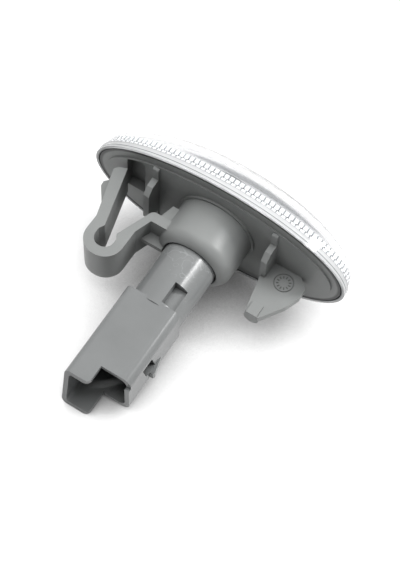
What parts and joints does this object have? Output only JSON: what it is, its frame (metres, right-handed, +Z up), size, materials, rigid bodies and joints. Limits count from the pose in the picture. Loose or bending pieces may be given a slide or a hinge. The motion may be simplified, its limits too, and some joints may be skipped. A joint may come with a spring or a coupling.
{
  "type": "side repeater lamp",
  "caption": "Oval car side repeater with a clear domed lens, grey clip-in housing and a plugged-in bulb holder with its connector shroud.",
  "frame": {"origin": "centre of the oval at the back face of the flange, which seats on the panel", "axes": "+X along the oval towards the spring clip, +Y into the car body along the connector, +Z up the short side of the oval"},
  "size_m": [0.097, 0.0969, 0.0488],
  "materials": {
    "clear_lens": "clear moulded, glossy",
    "grey_housing": "satin moulded",
    "grey_holder": "satin moulded, slightly glossier",
    "bright_reflector": "vacuum metallised",
    "seal_rubber": "matt",
    "terminal_brass": "tinned stamping",
    "amber_glass": "lacquered glass",
    "lead_wire": "drawn wire"
  },
  "bodies": {
    "root": {"housing": "grey_housing", "lens": "clear_lens", "reflector": "bright_reflector", "bulb_holder": "grey_holder", "holder_seal": "seal_rubber", "terminal_right": "terminal_brass", "terminal_left": "terminal_brass", "bulb_glass": "amber_glass", "bulb_lead_right": "lead_wire", "bulb_lead_left": "lead_wire", "bulb_filament": "lead_wire"}
  },
  "joints": []
}
